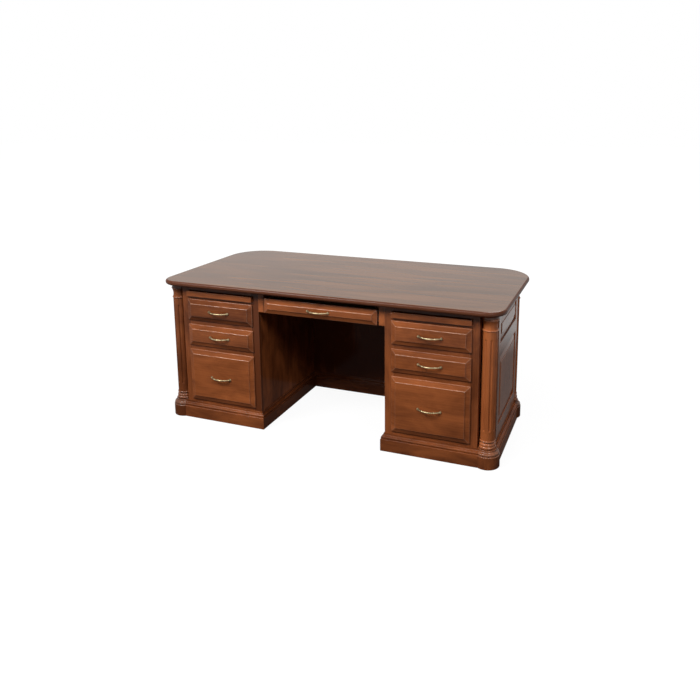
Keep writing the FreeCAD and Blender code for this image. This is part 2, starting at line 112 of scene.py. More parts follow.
# %% [markdown]
# Cherry shows faint growth rings, fine fibres and pores. The grain could be a picture wrapped round each
# board, but it would break at every corner. Wood is a solid pattern, and a board shows the slice of the
# tree that it was cut from. So each board carries its own coordinates in an attribute called grain, with
# the first axis along the fibres and a shift of its own, and one node group turns them into colour,
# height and roughness.

# %% Grain as a node group
pore_colour = (0.01, 0.004, 0.002, 1)
pore_cover = 0.72
pore_range = (0.60, 0.72)
tone_range = (0.69, 1.30)
dull_range = (0.5, 1.0)
fibre_dullness = 0.5
fibre_relief = 0.35


def new_group(name, inputs, outputs):
    """An empty shader node group, the sockets that it is given and the node at its end."""
    group = bpy.data.node_groups.new(name, "ShaderNodeTree")
    for label, kind, value in inputs:
        socket = group.interface.new_socket(name=label, in_out="INPUT", socket_type=kind)
        if value is not None:
            socket.default_value = value
    for label, kind in outputs:
        group.interface.new_socket(name=label, in_out="OUTPUT", socket_type=kind)
    return group, group.nodes.new("NodeGroupInput").outputs, group.nodes.new("NodeGroupOutput")


def make_grain_group():
    """Growth rings, fibres, pores and a slow drift of colour, from a board's own coordinates."""
    group, given, end = new_group(
        "board_grain",
        [("Coordinates", "NodeSocketVector", None), ("Light", "NodeSocketColor", (0.3, 0.1, 0.04, 1)),
         ("Dark", "NodeSocketColor", (0.1, 0.03, 0.01, 1)), ("Tone", "NodeSocketFloat", 0.5),
         ("Rings", "NodeSocketFloat", 22.0), ("Pore Depth", "NodeSocketFloat", 0.5)],
        [("Color", "NodeSocketColor"), ("Height", "NodeSocketFloat"), ("Roughness", "NodeSocketFloat")])

    def layer(along, across, detail, roughness, distortion=0.0):
        place = stretched(group, given["Coordinates"], (along, across, across))
        return noise(group, place, 1.0, detail, roughness, distortion)

    ring_place = stretched(group, given["Coordinates"], (0.16, 1.0, 1.0))
    rings = add_node(group, "ShaderNodeTexWave",
                     {"Vector": ring_place, "Scale": given["Rings"], "Distortion": 5.0, "Detail": 3.0,
                      "Detail Scale": 1.6, "Detail Roughness": 0.55},
                     wave_type="RINGS", rings_direction="X", wave_profile="SIN").outputs["Fac"]
    fibres = layer(along=9.0, across=420.0, detail=5.0, roughness=0.65)
    streaks = layer(along=2.4, across=30.0, detail=4.0, roughness=0.6, distortion=0.5)
    clouds = layer(along=4.5, across=11.0, detail=4.0, roughness=0.55, distortion=0.8)
    drift = layer(along=1.6, across=3.6, detail=2.0, roughness=0.5)
    pores = layer(along=80.0, across=1900.0, detail=2.0, roughness=0.5)

    tone = 0.0
    tone_shares = ((rings, 0.04), (fibres, 0.09), (streaks, 0.30), (clouds, 0.74), (drift, 0.50),
                   (given["Tone"], 0.30))
    for part, share in tone_shares:
        tone = math_node(group, "ADD", tone, math_node(group, "MULTIPLY", part, share))
    colour = blend_colour(group, remap(group, tone, *tone_range), given["Dark"], given["Light"])
    pitted = math_node(group, "MULTIPLY", remap(group, pores, *pore_range), given["Pore Depth"])
    pore = blend_colour(group, pore_cover, colour, pore_colour)
    relief = math_node(group, "MULTIPLY", fibres, fibre_relief)
    dull = math_node(group, "ADD", drift, math_node(group, "MULTIPLY", fibres, fibre_dullness))
    feed(group, end, {
        "Color": blend_colour(group, pitted, colour, pore),
        "Height": math_node(group, "SUBTRACT", relief, pitted),
        "Roughness": remap(group, dull, *dull_range),
    })
    return group


grain_group = make_grain_group()
print("grain group has", len(grain_group.nodes), "nodes")

# %% [markdown]
# On a stained desk the colour thins where hands and cloths pass: along the eased edges. The Geometry
# node's Pointiness could find them, but it changes with the fineness of the mesh. So the bevel marks its
# own narrow faces with an attribute called edge, and this group breaks the mark up, so that the wear is
# no clean line. Where the mark is strong, on the upper edges and the turned rings, the paler colour is
# partly real wear and partly a painted highlight.

# %% Edge wear as a node group
rub_power = 2.5
patch_scale = 34.0
patch_range = (0.38, 0.68)
least_wear = 0.25


def make_wear_and_highlight_group():
    """The colour of a finish that has thinned along the edges, which on the strongest marks is also a
    painted highlight.
    """
    group, given, end = new_group(
        "edge_wear_and_highlight",
        [("Coordinates", "NodeSocketVector", None), ("Edge", "NodeSocketFloat", 0.0),
         ("Color", "NodeSocketColor", (0.5, 0.5, 0.5, 1)), ("Worn", "NodeSocketColor", (0.5, 0.3, 0.2, 1)),
         ("Amount", "NodeSocketFloat", 0.5)],
        [("Color", "NodeSocketColor")])
    patches = noise(group, given["Coordinates"], patch_scale, detail=4.0, roughness=0.65)
    uneven = remap(group, patches, *patch_range, least_wear, 1.0)
    rubbed = math_node(group, "MULTIPLY", uneven, math_node(group, "POWER", given["Edge"], rub_power))
    worn = math_node(group, "MULTIPLY", rubbed, given["Amount"], clamp=True)
    feed(group, end, {"Color": blend_colour(group, worn, given["Color"], given["Worn"])})
    return group


wear_and_highlight_group = make_wear_and_highlight_group()
print("wear group has", len(wear_and_highlight_group.nodes), "nodes")

# %% [markdown]
# The case is stained cherry under a clear lacquer. The top is the same wood with a deeper stain and more
# gloss, and the drawer boxes are pale maple. Each could have a tree of its own, but they differ only in
# colour, gloss and wear. So one function builds all three from the two groups, and each call lists what
# is different.

# %% Wood finishes
relief_depth = 0.0003


def new_material(name):
    """A node material with its tree and its shader."""
    material = bpy.data.materials.new(name)
    material.use_nodes = True
    tree = material.node_tree
    return material, tree, tree.nodes["Principled BSDF"]


def bumped(tree, height, strength, depth):
    """The normals of a fine relief."""
    values = {"Height": height, "Strength": strength, "Distance": depth}
    return add_node(tree, "ShaderNodeBump", values).outputs["Normal"]


def make_wood(name, light, dark, worn, rings, pore_depth, wear, rough, gloss, coat, coat_rough, bump):
    """A finished wood. Its coat is given as the weight on plain faces and the weight on rubbed ones."""
    material, tree, shader = new_material(name)
    place = add_node(tree, "ShaderNodeAttribute", attribute_name="grain").outputs["Vector"]
    edge = add_node(tree, "ShaderNodeAttribute", attribute_name="edge").outputs["Fac"]
    tone = add_node(tree, "ShaderNodeAttribute", attribute_name="tone").outputs["Fac"]
    grain_inputs = {"Coordinates": place, "Light": light, "Dark": dark, "Tone": tone, "Rings": rings,
                    "Pore Depth": pore_depth}
    grain = add_node(tree, "ShaderNodeGroup", grain_inputs, node_tree=grain_group).outputs
    wear_inputs = {"Coordinates": place, "Edge": edge, "Color": grain["Color"], "Worn": worn,
                   "Amount": wear}
    finish = add_node(tree, "ShaderNodeGroup", wear_inputs, node_tree=wear_and_highlight_group).outputs
    face_coat, rubbed_coat = coat
    even_coat = face_coat == rubbed_coat
    feed(tree, shader, {
        "Base Color": finish["Color"],
        "Roughness": remap(tree, grain["Roughness"], 0.0, 1.0, *rough),
        "Normal": bumped(tree, grain["Height"], bump, relief_depth),
        "Specular IOR Level": gloss,
        "Coat Weight": face_coat if even_coat else remap(tree, edge, 0.0, 1.0, face_coat, rubbed_coat),
        "Coat Roughness": coat_rough,
    })
    return material


# the cherry's pale worn colour is partly real wear and partly a painted highlight on the upper edges
cherry = make_wood(
    "stained_cherry", light=(0.41, 0.116, 0.033, 1), dark=(0.110, 0.029, 0.009, 1),
    worn=(0.50, 0.25, 0.145, 1), rings=26.0, pore_depth=0.35, wear=1.6, rough=(0.36, 0.48), gloss=0.0,
    coat=(0.20, 1.0), coat_rough=0.12, bump=0.05)
cherry_top = make_wood(
    "stained_cherry_top", light=(0.185, 0.080, 0.032, 1), dark=(0.010, 0.008, 0.006, 1),
    worn=(0.105, 0.030, 0.011, 1), rings=26.0, pore_depth=0.40, wear=3.6, rough=(0.34, 0.44), gloss=0.0,
    coat=(0.71, 0.30), coat_rough=0.17, bump=0.04)
maple = make_wood(
    "clear_maple", light=(0.66, 0.47, 0.27, 1), dark=(0.48, 0.31, 0.155, 1),
    worn=(0.70, 0.53, 0.33, 1), rings=30.0, pore_depth=0.25, wear=0.3, rough=(0.42, 0.55), gloss=0.20,
    coat=(0.15, 0.15), coat_rough=0.35, bump=0.06)
print("wood finishes", cherry.name, cherry_top.name, maple.name)

# %% [markdown]
# The pulls are aged brass, a warm metal that has dulled to brown in patches. The runners are zinc-plated
# steel, with the faint cloudy spangle of the plating and fine draw lines along their length. Each could
# be one plain metal colour, but an even metal looks like paint. So noise on the piece's own coordinates
# varies the colour, the roughness and a very fine relief.

# %% Metal finishes
scratch_depth = 0.0002
aged_range = (0.42, 0.66)
noise_range = (0.3, 0.7)
brass_rough = (0.28, 0.46)
zinc_rough = (0.26, 0.40)
spangle_share = 0.10


def make_brass():
    """Aged brass, browner and rougher in patches."""
    material, tree, shader = new_material("aged_brass")
    place = add_node(tree, "ShaderNodeTexCoord").outputs["Object"]
    clouds = noise(tree, place, 95.0, detail=5.0, roughness=0.6)
    scratches = noise(tree, place, 900.0, detail=2.0)
    bright = (0.44, 0.35, 0.20, 1)
    aged = (0.19, 0.14, 0.07, 1)
    feed(tree, shader, {
        "Base Color": blend_colour(tree, remap(tree, clouds, *aged_range), bright, aged),
        "Roughness": remap(tree, clouds, *noise_range, *brass_rough),
        "Normal": bumped(tree, scratches, 0.08, scratch_depth),
        "Metallic": 1.0,
    })
    return material


def make_zinc():
    """Zinc-plated steel with draw lines along the runner."""
    material, tree, shader = new_material("zinc_steel")
    place = add_node(tree, "ShaderNodeTexCoord").outputs["Object"]
    lines = noise(tree, stretched(tree, place, (700.0, 6.0, 700.0)), 1.0, detail=3.0)
    spangle = add_node(tree, "ShaderNodeTexVoronoi", {"Vector": place, "Scale": 130.0}).outputs["Color"]
    grey = (0.44, 0.45, 0.46, 1)
    feed(tree, shader, {
        "Base Color": blend_colour(tree, spangle_share, grey, spangle, "OVERLAY"),
        "Roughness": remap(tree, lines, *noise_range, *zinc_rough),
        "Normal": bumped(tree, lines, 0.10, scratch_depth),
        "Metallic": 1.0,
    })
    return material


brass = make_brass()
zinc = make_zinc()
print("metal finishes", brass.name, zinc.name)

# %% [markdown]
# A joiner's frame is many boards, and the CAD holds them as loose triangles in one mesh. They could be
# split by hand in edit mode. Here a board's triangles are taken in order until the shell closes, which
# works for every node, and the doubles on the copy are merged.

# %% Boards out of a node
same_spot = 2e-6


def closed_batches(mesh):
    """The numbers of a mesh's triangles, shell by shell. A shell is closed when no edge is left single."""
    spots = [tuple(round(c, 6) for c in vertex.co) for vertex in mesh.vertices]
    batches = []
    batch = set()
    open_edges = set()
    for polygon in mesh.polygons:
        batch.add(polygon.index)
        ring = [spots[index] for index in polygon.vertices]
        for a, b in zip(ring, ring[1:] + ring[:1]):
            if a != b:
                open_edges ^= {(min(a, b), max(a, b))}
        if not open_edges:
            batches.append(batch)
            batch = set()
    return batches


def boards_of(node):
    """A node's boards in order, each as its own bmesh."""
    mesh = nodes[node].data
    shells = []
    for batch in closed_batches(mesh):
        shell = bmesh.new()
        shell.from_mesh(mesh)
        spare = [face for face in shell.faces if face.index not in batch]
        bmesh.ops.delete(shell, geom=spare, context="FACES")
        bmesh.ops.remove_doubles(shell, verts=shell.verts, dist=same_spot)
        shells.append(shell)
    return shells


print("boards in the back frame:", len(closed_batches(nodes["back_frame"].data)))

# %% [markdown]
# A joiner never leaves a board's arris sharp. A Bevel modifier could round the edges, but it can't write
# the mark that the wear needs. So each board is eased with the bevel operator, and the faces that it
# makes are marked: strongly on edges that stand proud and look up, where a cloth rubs most, and weakly
# elsewhere. On those proud, upward edges the paler worn colour is partly real wear and partly a painted
# highlight of the light from above. Every vertex also gets the board's grain coordinates.

# %% Eased edges and the marks for wear and grain
light_rub = 0.45
# the mark on proud, upward edges: real wear and a painted highlight
rub_and_highlight = 0.85
flat_angle = math.radians(0.4)
sharp_angle = math.radians(28.0)
proud_depth = 0.0045
looks_up = 0.2
# how the grain is shifted from board to board, along the fibres and in the two directions across
shift_starts = (0.0, 0.05, 0.04)
shift_steps = (0.731, 0.137, 0.219)
shift_spans = (3.0, 0.30, 0.24)
tone_step = 0.618


def mark_wear(shell, wear_of):
    """Write how far each face is rubbed, from 0 to 1."""
    layer = shell.loops.layers.float.new("edge")
    for face in shell.faces:
        wear = wear_of(face)
        for loop in face.loops:
            loop[layer] = wear


def mark_grain(shell, axis, seed, tone=None, stretch=1.0):
    """Write a board's tone and its own coordinates, first along the fibres. The seed sets boards apart."""
    grain = shell.verts.layers.float_vector.new("grain")
    shade = shell.verts.layers.float.new("tone")
    order = {"x": (0, 1, 2), "y": (1, 2, 0), "z": (2, 0, 1)}[axis]
    ranges = zip(shift_starts, shift_steps, shift_spans)
    shift = Vector([start + seed * step % span for start, step, span in ranges])
    board_tone = seed * tone_step % 1.0 if tone is None else tone
    for vertex in shell.verts:
        along, across, deep = (vertex.co[i] for i in order)
        vertex[grain] = Vector((along * stretch, across, deep)) + shift
        vertex[shade] = board_tone


def ease_edges(shell, width, segments, polish):
    """Bevel a board's sharp outer edges and mark the new faces. The old ones are marked with the polish."""
    bmesh.ops.dissolve_limit(shell, angle_limit=flat_angle, verts=shell.verts, edges=shell.edges)
    bmesh.ops.recalc_face_normals(shell, faces=shell.faces)
    sharp = [edge for edge in shell.edges if edge.is_convex and edge.calc_face_angle() > sharp_angle]
    made = bmesh.ops.bevel(shell, geom=sharp, offset=width, offset_type="OFFSET", affect="EDGES",
                           segments=segments, profile=0.5, material=-1, clamp_overlap=True, loop_slide=True)
    shell.normal_update()
    eased = set(made["faces"])
    proud = min(vertex.co.y for vertex in shell.verts) + proud_depth

    def wear_of(face):
        if face not in eased:
            return polish
        stands_proud = face.normal.z > looks_up and face.calc_center_median().y < proud
        return rub_and_highlight if stands_proud else light_rub

    mark_wear(shell, wear_of)
    bmesh.ops.dissolve_degenerate(shell, dist=1e-6, edges=shell.edges)


# %% [markdown]
# The case is frames, panels, posts and base boards, all of stained cherry. Each could be modelled again
# from its sizes, but the CAD shapes are right and only too sharp. So every node is dressed by one
# function, and its boards become one object that rides on the node's body. The tones follow the
# photograph: the boards in and beside the kneehole are darker, a painted shade for the kneehole's shade,
# the corner posts in the columns' pockets are lighter, a painted light where the lamps hardly reach, and
# the ends and the back are more polished than the fronts.

# %% One piece from a node's boards
dressed = []


def finished(shells, name, material, replaced):
    """One object from several shells, in the place of the nodes that it stands for."""
    mesh = bpy.data.meshes.new(name)
    whole = bmesh.new()
    whole.verts.layers.float_vector.new("grain")
    whole.verts.layers.float.new("tone")
    whole.loops.layers.float.new("edge")
    for shell in shells:
        part = bpy.data.meshes.new("part")
        shell.to_mesh(part)
        whole.from_mesh(part)
        bpy.data.meshes.remove(part)
        shell.free()
    for face in whole.faces:
        face.smooth = True
    whole.to_mesh(mesh)
    whole.free()
    piece = bpy.data.objects.new(name, mesh)
    bpy.context.scene.collection.objects.link(piece)
    mesh.materials.append(material)
    normals = piece.modifiers.new("even_normals", "WEIGHTED_NORMAL")
    normals.keep_sharp = True
    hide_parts(*replaced)
    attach(piece, body_of[replaced[0]])
    return piece


def longest_axis(shell):
    """The axis along which a board is longest."""
    spans = [max(v.co[i] for v in shell.verts) - min(v.co[i] for v in shell.verts) for i in range(3)]
    return "xyz"[spans.index(max(spans))]


def dress_boards(node, material, width, axis=None, segments=2, tone=None, polish=0.0):
    """A node's boards with eased edges and grain. The tone is a number or depends on a board's left end."""
    shells = boards_of(node)
    for shell in shells:
        dressed.append(node)
        run = axis or longest_axis(shell)
        left_end = min(vertex.co.x for vertex in shell.verts)
        ease_edges(shell, width, segments, polish)
        mark_grain(shell, run, len(dressed), tone(left_end) if callable(tone) else tone)
    return finished(shells, "wood_" + node, material, [node])


# %% The case
pairs = ("left", "right")
case_ease = 0.0008
panel_ease = 0.0007
end_polish = 0.42
pedestal_middle = -0.5
# the stile at the left of the kneehole is darkened: a painted shade
shaded_stile_tone = -1.0
face_frame_tone = 0.1
# the kneehole's boards are darkened, a painted shade, and the corner posts are lightened, a painted light
upright_shade_and_light = {"modesty_panel": -0.8, "knee_side_left": 0.0, "knee_side_right": 0.0, "corner_posts": 1.0}
# the base board in the kneehole is darkened, a painted shade
base_tones_and_shade = {"base_front": -0.15, "base_ends": 0.1, "base_back": 0.1, "base_knee": -0.7}


def frame_tone_and_shade(left_end):
    """A painted shade on the stile at the left of the kneehole, which is darkened, and an even tone on the
    rest of the face frames.
    """
    return shaded_stile_tone if pedestal_middle < left_end < 0 else face_frame_tone


for side in pairs:
    dress_boards("face_frame_" + side, cherry, case_ease, tone=frame_tone_and_shade)
for name in ["side_frame_" + side for side in pairs] + ["back_frame"]:
    dress_boards(name, cherry, case_ease, polish=end_polish)
for name in ["side_panels_" + side for side in pairs] + ["back_panels"]:
    dress_boards(name, cherry, panel_ease, "z", polish=end_polish)
for name, tone in upright_shade_and_light.items():
    dress_boards(name, cherry, case_ease, "z", tone=tone)
for name, tone in base_tones_and_shade.items():
    dress_boards(name, cherry, panel_ease, tone=tone)
dress_boards("centre_drawer_rails", cherry, panel_ease)
print("boards in the case:", len(dressed))

# %% [markdown]
# A drawer front is a solid board with a raised field, and its upper edges catch the light. A plain
# chamfer could stand for the field's edge, but it shows a hard line, so the fronts and slides get a wider
# bevel in more steps. The boxes and the boards that nobody sees are maple with barely eased edges.

# %% Drawers, slides and hidden boards
front_tones = {"top_left": -0.1, "top_right": 0.45, "middle_left": 0.4, "middle_right": 0.15,
               "file_left": 0.64, "file_right": 0.6, "centre": 0.65}
drawers = list(front_tones)
field_ease = 0.0036
slide_ease = 0.0030
box_ease = 0.0008
hidden_ease = 0.0006

for drawer, tone in front_tones.items():
    dress_boards("front_" + drawer, cherry, field_ease, "x", segments=5, tone=tone)
for side in pairs:
    dress_boards("writing_slide_" + side, cherry, slide_ease, "x", segments=4)
for drawer in drawers:
    dress_boards("box_" + drawer, maple, box_ease)
for name in ("slide_guides", "top_cleats", "pedestal_floors", "drawer_liners", "runner_packers"):
    dress_boards(name, maple, hidden_ease)
print("boards dressed:", len(dressed))

# %% [markdown]
# The top is a slab with a full bullnose. It could be extruded again from its outline, but the CAD copy
# has the right edge already, so only grain is added, along the length of the desk. It has a deeper stain
# and more gloss than the case below. The rounded rim is marked as rubbed, so the stain is thinner and
# redder there.

# %% The desk top
top_seed = 3
top_stretch = 0.4
flat_top = 0.95


def rim_wear(face):
    """Full on the rounded rim and none on the flat faces."""
    return 1.0 if abs(face.normal.z) < flat_top else 0.0


def dress_top():
    """The slab with its grain along the desk."""
    shells = boards_of("desk_top")
    for shell in shells:
        bmesh.ops.dissolve_limit(shell, angle_limit=flat_angle, verts=shell.verts, edges=shell.edges)
        mark_wear(shell, rim_wear)
        mark_grain(shell, "x", top_seed, stretch=top_stretch)
    return finished(shells, "wood_desk_top", cherry_top, ["desk_top"])


desk_top = dress_top()
print("desk top:", len(desk_top.data.polygons), "faces")

# %% [markdown]
# The columns are lathe work. A cylinder could be scaled ring by ring, but a turner cuts a profile, so
# here too half a profile is spun round its axis, and the beads and the bell are true arcs.

# %% Profiles for the lathe
arc_steps = 7


def arc_points(start, via, end):
    """Points after the start along the circle through three points of a profile."""
    (ax, ay), (bx, by), (cx, cy) = start, via, end
    spread = 2 * (ax * (by - cy) + bx * (cy - ay) + cx * (ay - by))
    square = [x * x + y * y for x, y in (start, via, end)]
    ox = (square[0] * (by - cy) + square[1] * (cy - ay) + square[2] * (ay - by)) / spread
    oy = (square[0] * (cx - bx) + square[1] * (ax - cx) + square[2] * (bx - ax)) / spread
    radius = math.hypot(ax - ox, ay - oy)
    first, middle, last = (math.atan2(y - oy, x - ox) for x, y in (start, via, end))
    turn = (last - first) % math.tau
    if (middle - first) % math.tau > turn:
        turn -= math.tau
    angles = [first + turn * step / arc_steps for step in range(1, arc_steps + 1)]
    return [(ox + radius * math.cos(a), oy + radius * math.sin(a)) for a in angles]


def profile(start, steps):
    """A profile's points from steps: (end,) is straight and (via, end) an arc."""
    points = [start]
    for step in steps:
        points += arc_points(points[-1], *step) if len(step) == 2 else step
    return points


def bead(radius, swell, height, bottom):
    """The step of a profile over a round bead."""
    return (radius + swell, bottom + height / 2), (radius, bottom + height)


def spun(points, steps):
    """A closed lathe shape from a profile that starts and ends on the axis."""
    shape = bmesh.new()
    verts = [shape.verts.new((radius, 0, height)) for radius, height in points]
    edges = [shape.edges.new(pair) for pair in zip(verts, verts[1:])]
    bmesh.ops.spin(shape, geom=verts + edges, cent=(0, 0, 0), axis=(0, 0, 1), angle=math.tau, steps=steps,
                   use_merge=True)
    bmesh.ops.remove_doubles(shape, verts=shape.verts, dist=1e-6)
    bmesh.ops.recalc_face_normals(shape, faces=shape.faces)
    return shape


# %% A column's sizes, from the foot up
near_corner, far_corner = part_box("columns")
column_low = near_corner.z
column_high = far_corner.z
shaft_radius = 0.0348
foot_ring = {"radius": 0.0372, "swell": 0.0040, "height": 0.014}
upper_ring = {"radius": 0.0362, "swell": 0.0034, "height": 0.013}
neck_radius = 0.0332
neck_height = 0.006
foot_bead = {"radius": shaft_radius, "swell": 0.0032, "height": 0.009}
collar = {"radius": shaft_radius, "swell": 0.0034, "height": 0.008}
bell_waist = 0.0328
bell_lip = 0.0386
bell_height = 0.042
cap_ring = {"radius": bell_lip, "swell": 0.0022, "height": 0.009}
abacus_radius = 0.0374
abacus_height = 0.020

upper_ring_low = column_low + foot_ring["height"]
neck_low = upper_ring_low + upper_ring["height"]
foot_bead_low = neck_low + neck_height
shaft_low = foot_bead_low + foot_bead["height"]
abacus_low = column_high - abacus_height
bell_high = abacus_low - cap_ring["height"]
bell_low = bell_high - bell_height
shaft_high = bell_low - collar["height"]

# the columns' axes, by side of the desk: -1 is the left or the front
column_reach = foot_ring["radius"] + foot_ring["swell"]
axis_x = {-1: near_corner.x + column_reach, 1: far_corner.x - column_reach}
axis_y = {-1: near_corner.y + column_reach, 1: far_corner.y - column_reach}
print("shafts from", round(shaft_low, 4), "to", round(shaft_high, 4))

# %% [markdown]
# Each shaft has eight flutes, cut with a round gouge. They could be cut with Boolean cylinders, which
# tend to leave thin, ragged faces. Here the spun shaft is pressed in by a formula: each vertex moves
# towards the axis by the depth of the gouge at its angle, and the gouge rises out of the wood at both
# ends of the flute.

# %% A column's profile
flute_foot = 0.046
flute_head = 0.036
flute_low = shaft_low + flute_foot
flute_high = shaft_high - flute_head
end_rows = 7
row_gap = 0.0008


def column_profile():
    """Two rings, the shaft with close rows at the flutes' ends, and the bell capital."""
    points = profile((0.0, column_low), [
        ((foot_ring["radius"], column_low),),
        bead(**foot_ring, bottom=column_low),
        ((upper_ring["radius"], upper_ring_low),),
        bead(**upper_ring, bottom=upper_ring_low),
        ((neck_radius, neck_low),),
        ((neck_radius, foot_bead_low),),
        ((shaft_radius, foot_bead_low),),
        bead(**foot_bead, bottom=foot_bead_low),
    ])
    rows = [row_gap * step for step in range(-end_rows, end_rows + 1)]
    points += [(shaft_radius, end + row) for end in (flute_low, flute_high) for row in rows]
    points += profile((shaft_radius, shaft_high), [
        bead(**collar, bottom=shaft_high),
        ((bell_waist, bell_low + bell_height / 2), (bell_lip, bell_high)),
        bead(**cap_ring, bottom=bell_high),
        ((abacus_radius, abacus_low),),
        ((abacus_radius, column_high),),
        ((0.0, column_high),),
    ])
    return points


print("column profile:", len(column_profile()), "points")

# %% Fluted columns
flute_count = 8
flute_depth = 0.0040
flute_radius = 0.0054
flute_margin = 0.006
column_steps = 192
column_seed = 40
# the right columns are lightened: a painted light. The left ones are darker.
column_tones_and_light = {-1: 0.0, 1: 1.2}


def press_flutes(shape):
    """Move the shaft's vertices in to the bottom of round gouge cuts."""
    pitch = math.tau / flute_count
    centre = shaft_radius - flute_depth + flute_radius
    for vertex in shape.verts:
        x, y, z = vertex.co
        radius = math.hypot(x, y)
        in_flutes = flute_low - flute_margin < z < flute_high + flute_margin
        if abs(radius - shaft_radius) > 1e-5 or not in_flutes:
            continue
        angle = math.atan2(y, x) % pitch - pitch / 2
        lift = max(flute_low + flute_radius - z, z - flute_high + flute_radius, 0.0)
        gouge = max(flute_radius ** 2 - lift ** 2, 0.0)
        side = centre * math.sin(angle)
        if side ** 2 < gouge:
            depth = centre * math.cos(angle) - math.sqrt(gouge - side ** 2)
            if depth < radius:
                vertex.co.x *= depth / radius
                vertex.co.y *= depth / radius


def column_wear_and_highlight(face):
    """The rings, beads and abacus are rubbed, partly real wear and partly a painted highlight; the shaft
    and the bell are not.
    """
    height = face.calc_center_median().z
    plain = shaft_low < height < shaft_high or bell_low < height < bell_high
    return 0.0 if plain else light_rub


def make_columns():
    """Four columns on the corners of the case."""
    shells = []
    for number, (side, turn) in enumerate([(-1, -1), (-1, 1), (1, -1), (1, 1)]):
        shape = spun(column_profile(), column_steps)
        press_flutes(shape)
        mark_wear(shape, column_wear_and_highlight)
        mark_grain(shape, "z", column_seed + number, column_tones_and_light[side])
        bmesh.ops.translate(shape, verts=shape.verts, vec=(axis_x[side], axis_y[turn], 0))
        shells.append(shape)
    return finished(shells, "wood_columns", cherry, ["columns"])


columns = make_columns()
print("columns:", len(columns.data.polygons), "faces")

# %% [markdown]
# Under each column stands a round block with the base moulding's section. It could be a strip of moulding
# bent round the corner, but a workshop turns the block whole and saws it. So the section is spun and then
# cut with planes into the three pieces that stand clear of the case's corner.

# %% A plinth block's section
block_core = 0.0418
base_thick = 0.018
foot_chamfer = 0.0008
shoulder_height = 0.058
round_over = 0.004
# the middle of the round, out and up from its centre
round_bulge = 0.00283
fillet_reach = 0.012
fillet_height = 0.004
ogee_foot_reach = 0.015
ogee_head_reach = 0.004
ogee_head = 0.087
ogee_swell_share = 0.2
base_height = 0.090


def base_profile():
    """A flat board, a round shoulder, a fillet and an ogee of two arcs, out from the block's axis."""
    face = block_core + base_thick
    fillet = block_core + fillet_reach
    shoulder = face - round_over
    shoulder_top = shoulder_height + round_over
    low_point = (block_core + ogee_foot_reach, shoulder_top + fillet_height)
    high_point = (block_core + ogee_head_reach, ogee_head)
    middle = ((low_point[0] + high_point[0]) / 2, (low_point[1] + high_point[1]) / 2)
    swell = (ogee_swell_share * (high_point[1] - middle[1]), ogee_swell_share * (middle[0] - high_point[0]))
    lower = tuple((a + b) / 2 + s for a, b, s in zip(low_point, middle, swell))
    upper = tuple((a + b) / 2 - s for a, b, s in zip(middle, high_point, swell))
    return profile((0.0, 0.0), [
        ((face - foot_chamfer, 0.0),),
        ((face, foot_chamfer),),
        ((face, shoulder_height),),
        ((shoulder + round_bulge, shoulder_height + round_bulge), (shoulder, shoulder_top)),
        ((fillet, shoulder_top),),
        ((fillet, low_point[1]),),
        (low_point,),
        (lower, middle),
        (upper, high_point),
        ((high_point[0], base_height),),
        ((0.0, base_height),),
    ])


print("block section:", len(base_profile()), "points")

# %% Round plinth blocks
block_steps = 96
block_seed = 60
block_tones = {-1: -0.6, 1: -0.2}
# from a column's axis out to the case's faces, and in to the back of the pocket for its corner
case_reach = 0.0315
pocket_reach = 0.042


def sawn(shape, cuts):
    """A copy of a shape with everything beyond each plane sawn off and the cut closed."""
    piece = shape.copy()
    for point, outward in cuts:
        bmesh.ops.bisect_plane(piece, geom=piece.verts[:] + piece.edges[:] + piece.faces[:], plane_co=point,
                               plane_no=outward, clear_outer=True, dist=1e-7)
        rim = [edge for edge in piece.edges if edge.is_boundary]
        if rim:
            bmesh.ops.holes_fill(piece, edges=rim, sides=0)
    bmesh.ops.recalc_face_normals(piece, faces=piece.faces)
    return piece


def block_cuts(out_x, out_y):
    """The cuts for the piece before the case's face, the one at its corner and the one beside its end."""
    face = out_y * case_reach
    end = out_x * case_reach
    pocket_x = -out_x * pocket_reach
    pocket_y = -out_y * pocket_reach
    return [
        [(face, -out_y)],
        [(face, out_y), (pocket_x, -out_x), (pocket_y, -out_y)],
        [(pocket_y, out_y), (end, -out_x)],
    ]


def block_wear_and_highlight(face):
    """The moulded part is rubbed, partly real wear and partly a painted highlight, and the flat board below
    it is not.
    """
    return light_rub if face.calc_center_median().z > shoulder_height else 0.0


def make_blocks():
    """Four blocks, each in the pieces that show round the case's corner."""
    shells = []
    for number, (side, turn) in enumerate([(1, -1), (1, 1), (-1, -1), (-1, 1)]):
        block = spun(base_profile(), block_steps)
        for cuts in block_cuts(Vector((side, 0, 0)), Vector((0, turn, 0))):
            piece = sawn(block, cuts)
            mark_wear(piece, block_wear_and_highlight)
            mark_grain(piece, "z", block_seed + number, block_tones[side])
            bmesh.ops.translate(piece, verts=piece.verts, vec=(axis_x[side], axis_y[turn], 0))
            shells.append(piece)
        block.free()
    return finished(shells, "wood_base_blocks", cherry, ["base_blocks"])


blocks = make_blocks()
print("plinth blocks:", len(blocks.data.polygons), "faces")

# %% [markdown]
# Each pull is a brass bar bent to an arc between two flared feet, with a bead on each arm. A curve with a
# round bevel could make the bar too. Here a ring of vertices is extruded from station to station along
# the arc and scaled to the bar's radius there, which gives the beads in the same pass. The feet are rings
# extruded out from the drawer front, and the bar's ends are buried in them.

